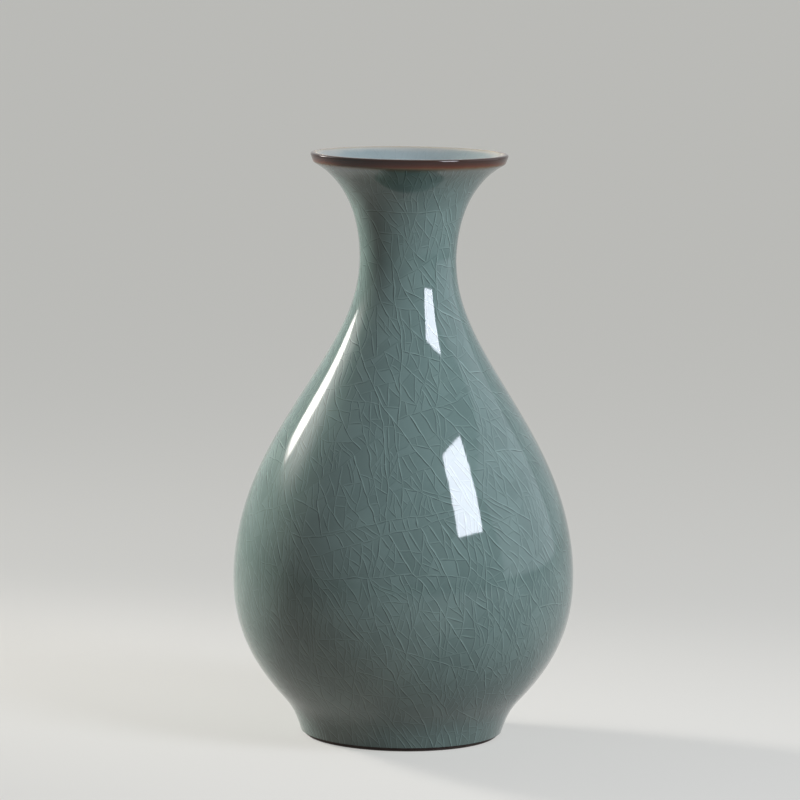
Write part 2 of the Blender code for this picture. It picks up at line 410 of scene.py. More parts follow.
class SmoothLine:
    """A natural cubic spline through the stations of a section."""

    def __init__(self, stations: np.ndarray) -> None:
        """Solves the spline.

        Args:
            stations: Rows of radius and height.
        """
        self.stations = stations
        self.lengths = np.linalg.norm(np.diff(stations, axis=0), axis=1)
        self.knots = np.concatenate(([0.0], np.cumsum(self.lengths)))
        count = len(stations)
        matrix = np.eye(count)
        rhs = np.zeros((count, 2))
        for i in range(1, count - 1):
            left, right = self.lengths[i - 1], self.lengths[i]
            matrix[i, i - 1:i + 2] = left / 6, (left + right) / 3, right / 6
            rhs[i] = (stations[i + 1] - stations[i]) / right - (stations[i] - stations[i - 1]) / left
        self.bends = np.linalg.solve(matrix, rhs)

    def between(self, first: int, last: int, step: float) -> np.ndarray:
        """Samples the line evenly from one station to another.

        Args:
            first: Number of the first station.
            last: Number of the last one.
            step: Greatest distance between points.

        Returns:
            Rows of radius and height, both ends included.
        """
        start, end = self.knots[first], self.knots[last]
        places = np.linspace(start, end, math.ceil(abs(end - start) / step) + 1)
        span = np.clip(np.searchsorted(self.knots, places, side="right") - 1, 0, len(self.lengths) - 1)
        width = self.lengths[span][:, None]
        near = (self.knots[span + 1] - places)[:, None] / width
        far = 1.0 - near
        bent = (near ** 3 - near) * self.bends[span] + (far ** 3 - far) * self.bends[span + 1]
        line = near * self.stations[span] + far * self.stations[span + 1] + bent * width ** 2 / 6
        return np.minimum(line, self.stations.max(axis=0))


class FaceLine:
    """The smooth line of a glazed face, by the run along it from its lower end."""

    def __init__(self, points: np.ndarray, side: float) -> None:
        """Measures the line.

        Args:
            points: Rows of radius and height from the lower end up.
            side: 1 on an outer face and -1 on an inner one.
        """
        steps = np.linalg.norm(np.diff(points, axis=0), axis=1)
        self.side = side
        self.points = points
        self.runs = np.concatenate(([0.0], np.cumsum(steps)))
        self.length = float(self.runs[-1])
        ways = np.gradient(points, self.runs, axis=0)
        ways /= np.linalg.norm(ways, axis=1)[:, None]
        self.outs = side * np.column_stack((ways[:, 1], -ways[:, 0]))

    def radius(self, run: float) -> float:
        """Gives the radius of the face at a run."""
        return float(np.interp(run, self.runs, self.points[:, 0]))

    def around(self, table: np.ndarray, angles: np.ndarray, runs: np.ndarray) -> np.ndarray:
        """Carries rows of a table of radial and upright parts round the axis.

        Args:
            table: The line's points or its normals.
            angles: Angles round the axis.
            runs: Runs along the face.

        Returns:
            Rows of x, y and z.
        """
        flat = np.interp(runs, self.runs, table[:, 0])
        return np.column_stack(
            (flat * np.cos(angles), flat * np.sin(angles), np.interp(runs, self.runs, table[:, 1]))
        )


class Lathe:
    """Turns section outlines into closed walls with one Geometry Nodes tree."""

    MERGE = 1e-7

    def __init__(self) -> None:
        """Builds the tree: a grid whose rows take an outline's points and whose columns go round."""
        tree = bpy.data.node_groups.new("Turned wall", "GeometryNodeTree")
        for name, kind in (
            ("Outline", "NodeSocketObject"), ("Segments", "NodeSocketInt"), ("Finish", "NodeSocketMaterial"),
        ):
            tree.interface.new_socket(name, in_out="INPUT", socket_type=kind)
        tree.interface.new_socket("Wall", in_out="OUTPUT", socket_type="NodeSocketGeometry")
        sizes = add_node(tree, "NodeGroupInput").outputs
        outline = add_node(tree, "GeometryNodeObjectInfo", {"Object": sizes["Outline"]}).outputs["Geometry"]
        rows = add_node(tree, "GeometryNodeAttributeDomainSize", {"Geometry": outline}).outputs["Point Count"]
        columns = add_node(tree, "FunctionNodeIntegerMath", {0: sizes["Segments"], 1: 1}, operation="ADD")
        grid = add_node(tree, "GeometryNodeMeshGrid", {"Vertices X": columns, "Vertices Y": rows})
        index = add_node(tree, "GeometryNodeInputIndex")
        row, column = (
            add_node(tree, "FunctionNodeIntegerMath", {0: index, 1: rows}, operation=operation)
            for operation in ("MODULO", "DIVIDE")
        )
        position = add_node(tree, "GeometryNodeInputPosition")
        place = add_node(
            tree, "GeometryNodeSampleIndex", {"Geometry": outline, "Value": position, "Index": row},
            data_type="FLOAT_VECTOR", domain="POINT",
        )
        share = add_node(tree, "ShaderNodeMath", {0: column, 1: sizes["Segments"]}, operation="DIVIDE")
        angle = add_node(tree, "ShaderNodeMath", {0: share, 1: math.tau}, operation="MULTIPLY")
        turned = add_node(
            tree, "ShaderNodeVectorRotate", {"Vector": place, "Angle": angle}, rotation_type="Z_AXIS",
        )
        wall = add_node(tree, "GeometryNodeSetPosition", {"Geometry": grid, "Position": turned})
        closed = add_node(tree, "GeometryNodeMergeByDistance", {"Geometry": wall, "Distance": self.MERGE})
        whole = add_node(tree, "GeometryNodeRealizeInstances", {"Geometry": closed})
        dressed = add_node(tree, "GeometryNodeSetMaterial", {"Geometry": whole, "Material": sizes["Finish"]})
        add_node(tree, "NodeGroupOutput", {0: dressed})
        self.tree = tree
        inputs = (item for item in tree.interface.items_tree if item.in_out == "INPUT")
        self.keys = {item.name: item.identifier for item in inputs}

    def turn(
        self, name: str, outline: np.ndarray, segments: int, finish: bpy.types.Material,
    ) -> bpy.types.Object:
        """Turns one outline into a piece at the origin.

        Args:
            name: Name of the piece.
            outline: Rows of radius and height; a closed section ends on its first point.
            segments: Faces round the axis.
            finish: Material of the whole piece.

        Returns:
            The piece, a plain mesh with its faces pointing out.
        """
        guide_mesh = bpy.data.meshes.new(name + "_outline")
        guide_mesh.from_pydata(
            [(radius, 0.0, height) for radius, height in outline.tolist()],
            [(i, i + 1) for i in range(len(outline) - 1)],
            [],
        )
        guide = bpy.data.objects.new(name + "_outline", guide_mesh)
        bpy.context.scene.collection.objects.link(guide)
        piece = bpy.data.objects.new(name, bpy.data.meshes.new(name + "_start"))
        bpy.context.scene.collection.objects.link(piece)
        modifier = piece.modifiers.new("Turned wall", "NODES")
        modifier.node_group = self.tree
        for label, value in (("Outline", guide), ("Segments", segments), ("Finish", finish)):
            modifier[self.keys[label]] = value
        graph = bpy.context.evaluated_depsgraph_get()
        turned = bpy.data.meshes.new_from_object(piece.evaluated_get(graph), depsgraph=graph)
        piece.modifiers.remove(modifier)
        start = piece.data
        piece.data = turned
        turned.name = name
        turned.materials.clear()
        turned.materials.append(finish)
        turned.polygons.foreach_set("material_index", [0] * len(turned.polygons))
        bpy.data.meshes.remove(start)
        bpy.data.objects.remove(guide)
        bpy.data.meshes.remove(guide_mesh)
        shell = bmesh.new()
        shell.from_mesh(turned)
        bmesh.ops.delete(shell, geom=[edge for edge in shell.edges if edge.is_wire], context="EDGES")
        bmesh.ops.recalc_face_normals(shell, faces=shell.faces[:])
        shell.to_mesh(turned)
        shell.free()
        turned.shade_smooth()
        turned.set_sharp_from_angle(angle=CORNER_TURN)
        return piece


@dataclass(frozen=True)
class CellSize:
    """The usual crackle cell at a height: its length, its width and how far its cracks lean."""

    height: float
    along: float
    across: float
    lean: float


class CrackNet:
    """Crackle cells on an unrolled face: polygons that share their points with their neighbours."""

    def __init__(self, turns: list[float], length: float) -> None:
        """Starts with tall cells between long cracks.

        Args:
            turns: Angles of the long cracks.
            length: Length of the face from its lower to its upper end.
        """
        count = len(turns)
        self.turns = turns + turns
        self.runs = [0.0] * count + [length] * count
        self.cells: list[list[int]] = []
        self.owners: dict[tuple[int, int], int] = {}
        self.ages: dict[tuple[int, int], float] = {}
        for i in range(count):
            following = (i + 1) % count
            self.ages[self.pair(i, i + count)] = 1.0
            self.add_cell([i, following, following + count, i + count])

    @staticmethod
    def pair(first: int, second: int) -> tuple[int, int]:
        """Names an edge whichever way it runs."""
        return (first, second) if first < second else (second, first)

    def add_cell(self, loop: list[int]) -> int:
        """Adds a cell.

        Args:
            loop: Its points in order.

        Returns:
            The number of the cell.
        """
        self.cells.append([])
        self.give(len(self.cells) - 1, loop)
        return len(self.cells) - 1

    def give(self, cell: int, loop: list[int]) -> None:
        """Gives a cell its points and the edges between them.

        Args:
            cell: Number of the cell.
            loop: Its points in order.
        """
        self.cells[cell] = loop
        for here, there in zip(loop, loop[1:] + loop[:1]):
            self.owners[here, there] = cell

    def turn_from(self, start: float, point: int) -> float:
        """Gives the turn from an angle to a point, the short way round."""
        return (self.turns[point] - start + math.pi) % math.tau - math.pi

    def add_point(self, first: int, second: int, share: float) -> int:
        """Puts a point on the edge between two others.

        Args:
            first: The point that the share is counted from.
            second: The other end of the edge.
            share: Share of the way to the other end.

        Returns:
            The number of the new point, which both cells along the edge now have.
        """
        point = len(self.turns)
        self.turns.append(self.turns[first] + share * self.turn_from(self.turns[first], second))
        self.runs.append(self.runs[first] + share * (self.runs[second] - self.runs[first]))
        for here, there in ((first, second), (second, first)):
            cell = self.owners.pop((here, there), None)
            if cell is not None:
                self.cells[cell].insert(self.cells[cell].index(here) + 1, point)
                self.owners[here, point] = self.owners[point, there] = cell
        age = self.ages.pop(self.pair(first, second), None)
        if age is not None:
            self.ages[self.pair(first, point)] = self.ages[self.pair(point, second)] = age
        return point

    def split(self, cell: int, places: np.ndarray, offsets: np.ndarray, snap: float, sharpest: float,
              age: float) -> int | None:
        """Cracks a cell in two.

        Args:
            cell: Number of the cell.
            places: Its points on the flat.
            offsets: Signed distance of each of its points from the crack.
            snap: A crack that ends closer than this to a point goes through it.
            sharpest: Least angle between the crack and the sides it ends on.
            age: How early the crack came, from 0 to 1.

        Returns:
            The number of the cell that was split off, or None if the crack would leave a sliver.
        """
        loop = list(self.cells[cell])
        count = len(loop)
        sides = np.roll(places, -1, axis=0) - places
        sizes = np.linalg.norm(sides, axis=1)
        ends: list[tuple[int, float]] = []
        for i in range(count):
            following = (i + 1) % count
            if (offsets[i] > 0) == (offsets[following] > 0):
                continue
            share = float(offsets[i] / (offsets[i] - offsets[following]))
            if share * sizes[i] < snap:
                ends.append((i, 0.0))
            elif (1 - share) * sizes[i] < snap:
                ends.append((following, 0.0))
            else:
                ends.append((i, share))
        if len(ends) != 2 or ends[0] == ends[1]:
            return None
        spots = [places[i] + share * sides[i] for i, share in ends]
        for (i, share), way in zip(ends, (spots[1] - spots[0], spots[0] - spots[1])):
            before = i if share else i - 1
            onward, back = sides[i] / sizes[i], -sides[before] / sizes[before]
            if max(onward @ way, back @ way) > math.cos(sharpest) * np.linalg.norm(way):
                return None
        points = [
            self.add_point(loop[i], loop[(i + 1) % count], share) if share else loop[i] for i, share in ends
        ]
        loop = self.cells[cell]
        near, far = sorted(loop.index(point) for point in points)
        self.ages[self.pair(*points)] = age
        rest = loop[far:] + loop[:near + 1]
        self.give(cell, loop[near:far + 1])
        return self.add_cell(rest)


@dataclass
class Crackle:
    """Crackles a glazed face: a net of cells with a fine groove along every crack.

    A cell splits in two until it is about as large as its height on the wall calls for, so older
    cracks run far and younger ones end on them, as crazing does while a glaze cools. Each crack is
    stained dark, and its sides are painted as if light fell from above and to the right: painted
    shade on one side and a painted highlight on the other.
    """

    KIND: ClassVar[str] = "face_kind"
    # Attribute of each corner: staining and painted light along the cracks, a random tone on cell tops.
    STAIN_AND_PAINTED_LIGHT: ClassVar[str] = "stain_and_painted_light"

    face: FaceLine
    sizes: tuple[CellSize, ...]
    seed: int
    strength: float = 1.0
    long_cracks: int = 5
    sector_jitter: float = 0.2
    width: float = 1.4 * MM
    # Width of the crack side that gets the painted highlight.
    painted_highlight_width: float = 2.4 * MM
    young_width: float = 0.7
    width_growth: float = 0.4
    young_strength: float = 0.5
    depth: float = 0.010 * MM
    steepest: float = math.radians(0.42)
    sway: float = 2.5 * MM
    sway_length: float = 25 * MM
    shiver: float = 0.95 * MM
    shiver_length: float = 7 * MM
    calm_end: float = 9 * MM
    snap: float = 1.1 * MM
    sharpest: float = math.radians(24)
    upright_share: float = 0.42
    upright_from: float = math.radians(18)
    level_share: float = 0.28
    swing: float = math.radians(13)
    swing_growth: float = 2.0
    whole_sizes: tuple[float, float] = (1.0, 1.8)
    old_size: float = 8.0
    off_centre: float = 0.17
    tries: int = 24
    other_way_every: int = 4
    bend_step: float = 2.8 * MM
    sharpest_reach: float = 2.0
    straight_on: float = 0.98
    free_share: float = 0.36
    # Painted light: crack sides that face this way on the unrolled face, right and up, are painted lighter
    # and the others darker.
    painted_light_way: tuple[float, float] = (0.75, 0.66)
    dark_share: float = 0.12
    cell_tone: float = 0.10

    def __post_init__(self) -> None:
        """Lays out cell sizes by run, and the twist that makes long cracks lean."""
        table = np.array([(s.height, s.along, s.across, s.lean) for s in self.sizes])
        heights = self.face.points[:, 1]
        self.usual = np.column_stack([np.interp(heights, table[:, 0], column) for column in table[:, 1:].T])
        rate = -np.tan(self.usual[:, 2]) / self.face.points[:, 0]
        steps = np.diff(self.face.runs) * (rate[1:] + rate[:-1]) / 2
        self.twists = np.concatenate(([0.0], np.cumsum(steps)))
        self.chance = random.Random(self.seed)

    def twist(self, run: float) -> float:
        """Gives the angle that long cracks have turned through at a run."""
        return float(np.interp(run, self.face.runs, self.twists))

    def crack(self, net: CrackNet, cell: int) -> int | None:
        """Cracks a cell that is too large.

        Args:
            net: The net of cells.
            cell: Number of the cell.

        Returns:
            The number of the cell that was split off, or None for a cell that stays whole.
        """
        loop = net.cells[cell]
        start = net.turns[loop[0]]
        runs = np.array([net.runs[point] for point in loop])
        turns = np.array([net.turn_from(start, point) for point in loop])
        middle_run = float(runs.mean())
        radius = self.face.radius(middle_run)
        usual_along, usual_across, lean = (
            float(np.interp(middle_run, self.face.runs, column)) for column in self.usual.T
        )
        places = np.column_stack((turns * radius - math.tan(lean) * (runs - middle_run), runs))
        along = np.array((-math.sin(lean), math.cos(lean)))
        across = np.array((math.cos(lean), math.sin(lean)))
        length, width = np.ptp(places @ along), np.ptp(places @ across)
        long_ratio, wide_ratio = length / usual_along, width / usual_across
        ratio = max(long_ratio, wide_ratio)
        if ratio < self.chance.uniform(*self.whole_sizes):
            return None
        first, second = (Cut.ACROSS, Cut.ALONG) if long_ratio > wide_ratio else (Cut.ALONG, Cut.ACROSS)
        age = min(1.0, ratio / self.old_size)
        for trial in range(self.tries):
            cut = first if (trial + 1) % self.other_way_every else second
            ease = trial / self.tries
            offset = self.chance.uniform(-self.off_centre, self.off_centre)
            kind = self.chance.random()
            upright = kind < self.upright_share and lean > self.upright_from
            if cut is Cut.ALONG:
                normal, shift = across, across * width * offset
            else:
                level = kind > 1 - self.level_share
                normal, shift = np.array((0.0, 1.0)) if level else along, along * length * offset
            if upright:
                normal = np.array((1.0, 0.0))
            swing = self.chance.gauss(0.0, self.swing) * (1 + self.swing_growth * ease)
            normal = np.array((
                normal[0] * math.cos(swing) - normal[1] * math.sin(swing),
                normal[0] * math.sin(swing) + normal[1] * math.cos(swing),
            ))
            offsets = (places - places.mean(axis=0) - shift) @ normal
            other = net.split(cell, places, offsets, self.snap, self.sharpest * (1 - ease), age)
            if other is not None:
                return other
        return None

    def grow(self) -> CrackNet:
        """Grows the whole net of cracks.

        Returns:
            The net.
        """
        sector = math.tau / self.long_cracks
        jitter = self.sector_jitter
        turns = [sector * (i + self.chance.uniform(-jitter, jitter)) for i in range(self.long_cracks)]
        net = CrackNet(turns, self.face.length)
        waiting = list(range(len(net.cells)))
        while waiting:
            cell = waiting.pop()
            other = self.crack(net, cell)
            if other is not None:
                waiting.extend((cell, other))
        return net

    def bend(self, net: CrackNet) -> None:
        """Divides long edges so that cracks can wander.

        Args:
            net: The net of cells.
        """
        for first, second in sorted(net.owners):
            if (first, second) not in net.owners:
                continue
            radius = self.face.radius((net.runs[first] + net.runs[second]) / 2)
            rise = net.runs[second] - net.runs[first]
            turn = (
                net.turn_from(net.turns[first], second)
                + self.twist(net.runs[second]) - self.twist(net.runs[first])
            )
            parts = math.ceil(math.hypot(turn * radius, rise) / self.bend_step)
            here = first
            for left in range(parts, 1, -1):
                here = net.add_point(here, second, 1.0 / left)

    def lay(self, net: CrackNet) -> tuple[np.ndarray, np.ndarray]:
        """Lays the net on the face and lets the cracks wander.

        Args:
            net: The net of cells.

        Returns:
            The angle and the run of every point.
        """
        noise.seed_set(self.seed)
        runs = np.array(net.runs)
        angles = np.array(net.turns) + np.interp(runs, self.face.runs, self.twists)
        places = self.face.around(self.face.points, angles, runs)
        drift = np.array([
            noise.noise_vector(Vector(place) / self.sway_length) * self.sway
            + noise.noise_vector(Vector(place) / self.shiver_length) * self.shiver
            for place in places
        ])
        calm = np.clip(np.minimum(runs, self.face.length - runs) / self.calm_end, 0.0, 1.0)
        radii = np.interp(runs, self.face.runs, self.face.points[:, 0])
        return angles + drift[:, 0] * calm / radii, runs + drift[:, 2] * calm

    def inset(self, places: np.ndarray, inward: np.ndarray, widths: np.ndarray) -> np.ndarray:
        """Moves the outline of a cell in from its cracks, less where the cell is narrow.

        Args:
            places: Points round the cell, in order.
            inward: The way in from the edge after each point.
            widths: How far to move in from those edges.

        Returns:
            The points of the cell's top.
        """
        before = np.roll(inward, 1, axis=0)
        before_width = np.roll(widths, 1)
        turn = np.clip((inward * before).sum(axis=1), -1.0, 1.0)
        spread = np.maximum(1.0 - turn ** 2, TINY)
        move = (
            ((widths - before_width * turn) / spread)[:, None] * inward
            + ((before_width - widths * turn) / spread)[:, None] * before
        )
        straight = turn > self.straight_on
        move[straight] = (inward * ((widths + before_width) / 2)[:, None])[straight]
        reach = np.linalg.norm(move, axis=1)
        most = np.minimum(self.sharpest_reach * np.maximum(widths, before_width), self.room(places))
        shorten = np.minimum(1.0, most / np.maximum(reach, TINY))
        moved = places + move * shorten[:, None]
        runs = np.interp(moved[:, 2], self.face.points[:, 1], self.face.runs)
        return self.face.around(self.face.points, np.arctan2(moved[:, 1], moved[:, 0]), runs)

    def room(self, places: np.ndarray) -> np.ndarray:
        """Gives how far each point of a cell can move before it meets a point from across the cell.

        Args:
            places: Points round the cell.

        Returns:
            A share of the distance from each point to the nearest edge that it isn't on.
        """
        edges = np.roll(places, -1, axis=0) - places
        apart = places[:, None, :] - places[None, :, :]
        along = np.clip((apart * edges[None]).sum(axis=2) / (edges ** 2).sum(axis=1), 0.0, 1.0)
        distance = np.linalg.norm(apart - along[:, :, None] * edges[None], axis=2)
        index = np.arange(len(places))
        distance[index, index] = np.inf
        distance[index, index - 1] = np.inf
        return self.free_share * distance.min(axis=1)

    def build(self, shell: bmesh.types.BMesh) -> int:
        """Adds the crackled face to a mesh.

        Args:
            shell: The mesh.

        Returns:
            The number of cells.
        """
        kind = shell.faces.layers.int.new(self.KIND)
        stain_and_painted_light = shell.loops.layers.float.new(self.STAIN_AND_PAINTED_LIGHT)
        net = self.grow()
        cells = len(net.cells)
        self.bend(net)
        angles, runs = self.lay(net)
        places = self.face.around(self.face.points, angles, runs)
        outs = self.face.around(self.face.outs, angles, runs)
        right = self.face.side * np.column_stack((-np.sin(angles), np.cos(angles), np.zeros(len(angles))))
        # The way that the painted light comes from at every point, along the face.
        painted_light_ways = self.painted_light_way[0] * right + self.painted_light_way[1] * np.cross(outs, right)
        ends = {point for edge in net.owners if edge[::-1] not in net.owners for point in edge}
        sunk = np.array([0.0 if point in ends else self.depth for point in range(len(runs))])
        verts = [shell.verts.new(place) for place in places - outs * sunk[:, None]]
        for loop in net.cells:
            loop = loop if self.face.side > 0 else loop[::-1]
            onward = loop[1:] + loop[:1]
            ages = [net.ages.get(net.pair(here, there)) for here, there in zip(loop, onward)]
            edges = places[onward] - places[loop]
            inward = np.cross(outs[loop], edges / np.linalg.norm(edges, axis=1)[:, None])
            # Positive on a side painted in light, negative on a side painted in shade; dark_share stains
            # both.
            painted_light_shares = (inward * painted_light_ways[loop]).sum(axis=1) - self.dark_share
            wide = np.where(painted_light_shares > 0, self.painted_highlight_width, self.width)
            widths = np.array([
                0.0 if age is None else wide[i] * (self.young_width + self.width_growth * age)
                for i, age in enumerate(ages)
            ])
            moved = self.inset(places[loop], inward, widths)
            inner = [
                verts[point] if widths[i] == 0.0 and widths[i - 1] == 0.0 else shell.verts.new(moved[i])
                for i, point in enumerate(loop)
            ]
            for i, age in enumerate(ages):
                if age is None:
                    continue
                following = (i + 1) % len(loop)
                strength = self.strength * (self.young_strength + (1 - self.young_strength) * age)
                crack = verts[loop[i]], verts[onward[i]]
                band = shell.faces.new(dict.fromkeys((*crack, inner[following], inner[i])))
                band[kind] = FaceKind.CRACK_SIDE.value
                for corner in band.loops:
                    if corner.vert in crack:
                        # The crack's own corners carry this side's staining and painted light or shade.
                        corner[stain_and_painted_light] = strength * float(painted_light_shares[i])
            top = shell.faces.new(inner)
            top.normal_update()
            top[kind] = FaceKind.TOP.value
            tone = self.strength * self.cell_tone * self.chance.uniform(-1.0, 1.0)
            for corner in top.loops:
                corner[stain_and_painted_light] = tone
        tops = [face for face in shell.faces if face[kind] == FaceKind.TOP.value]
        bmesh.ops.triangulate(shell, faces=tops, quad_method="BEAUTY", ngon_method="BEAUTY")
        return cells

    def shade(self, mesh: bpy.types.Mesh) -> None:
        """Gives the face the normals of its smooth line, which the grooves only turn a little.

        Args:
            mesh: The finished mesh.
        """
        mesh.shade_smooth()
        mesh.set_sharp_from_angle(angle=CORNER_TURN)
        places = np.array([vertex.co for vertex in mesh.vertices])
        runs = np.interp(places[:, 2], self.face.points[:, 1], self.face.runs)
        outs = self.face.around(self.face.outs, np.arctan2(places[:, 1], places[:, 0]), runs)
        outs /= np.linalg.norm(outs, axis=1)[:, None]
        normals = np.zeros((len(mesh.loops), 3))
        for polygon, item in zip(mesh.polygons, mesh.attributes[self.KIND].data):
            kind = FaceKind(item.value)
            if kind is FaceKind.PLAIN:
                continue
            for corner in polygon.loop_indices:
                out = outs[mesh.loops[corner].vertex_index]
                normals[corner] = out
                if kind is FaceKind.CRACK_SIDE:
                    tilt = np.array(polygon.normal) - out
                    normals[corner] += tilt * min(1.0, self.steepest / max(float(np.linalg.norm(tilt)), TINY))
        mesh.attributes.remove(mesh.attributes[self.KIND])
        mesh.normals_split_custom_set(normals)


def open_rings(verts: list[bmesh.types.BMVert]) -> list[list[bmesh.types.BMVert]]:
    """Finds the lower and the upper open end of a turned surface.

    Args:
        verts: The points of the surface.

    Returns:
        The points of both ends, each in order round the axis.
    """
    open_verts = [vertex for vertex in verts if any(edge.is_boundary for edge in vertex.link_edges)]
    heights = [vertex.co.z for vertex in open_verts]
    middle = (min(heights) + max(heights)) / 2
    rings = [[v for v in open_verts if (v.co.z > middle) == upper] for upper in (False, True)]
    return [sorted(ring, key=lambda v: math.atan2(v.co.y, v.co.x)) for ring in rings]


def sew(shell: bmesh.types.BMesh, first: list[bmesh.types.BMVert], second: list[bmesh.types.BMVert]) -> None:
    """Closes the strip between two rings with triangles.

    Args:
        shell: The mesh that holds both rings.
        first: One ring, in order round the axis.
        second: The other ring, in the same order.
    """
    rings = first, second
    done = [0, 0]
    while done[0] < len(first) or done[1] < len(second):
        onward = []
        for ring, place in zip(rings, done):
            following = ring[(place + 1) % len(ring)].co
            lap = math.tau * ((place + 1) // len(ring))
            onward.append(math.atan2(following.y, following.x) + lap if place < len(ring) else math.inf)
        moved = 0 if onward[0] <= onward[1] else 1
        here = [ring[place % len(ring)] for ring, place in zip(rings, done)]
        done[moved] += 1
        shell.faces.new((*here, rings[moved][done[moved] % len(rings[moved])]))


def long_faces(node: str) -> list[np.ndarray]:
    """Reads the two long faces of a coat, the one with more length first."""
    faces = faces_of(read_outline(node))
    return sorted(faces, key=lambda face: -np.linalg.norm(np.diff(face, axis=0), axis=1).sum())[:2]


def rising(points: np.ndarray, column: int = 1) -> np.ndarray:
    """Gives a line from its lower end up, or from its narrow end out where the column is 0."""
    return points if points[0, column] < points[-1, column] else points[::-1]


def half_round(start: np.ndarray, end: np.ndarray, steps: int) -> np.ndarray:
    """Rounds the end of a coat.

    Args:
        start: Where the face ends.
        end: Where the back begins.
        steps: Number of steps over the round.

    Returns:
        The points between the two, on a half circle to the left of the way from start to end.
    """
    middle, arm = (start + end) / 2, (start - end) / 2
    turns = np.linspace(0.0, math.pi, steps + 1)[1:-1, None]
    side = np.array((-arm[1], arm[0]))
    return middle + arm * np.cos(turns) + side * np.sin(turns)


def eased(outline: np.ndarray, radii: list[float], steps: int = 5) -> np.ndarray:
    """Rounds the corners of a closed section.

    Args:
        outline: Rows of radius and height.
        radii: Rounding at each corner; zero keeps the corner.
        steps: Steps over each rounding.

    Returns:
        The rounded section, closed on its first point.
    """
    points = []
    count = len(outline)
    for i, radius in enumerate(radii):
        here = outline[i]
        back = outline[i - 1] - here
        onward = outline[(i + 1) % count] - here
        back, onward = back / np.linalg.norm(back), onward / np.linalg.norm(onward)
        half = math.acos(float(np.clip(back @ onward, -1.0, 1.0))) / 2
        reach = radius / math.tan(half)
        for share in np.linspace(0.0, 1.0, steps + 1) if radius else (0.5,):
            near, far = here + back * reach, here + onward * reach
            points.append((1 - share) ** 2 * near + 2 * share * (1 - share) * here + share ** 2 * far)
    return np.array(points + points[:1])


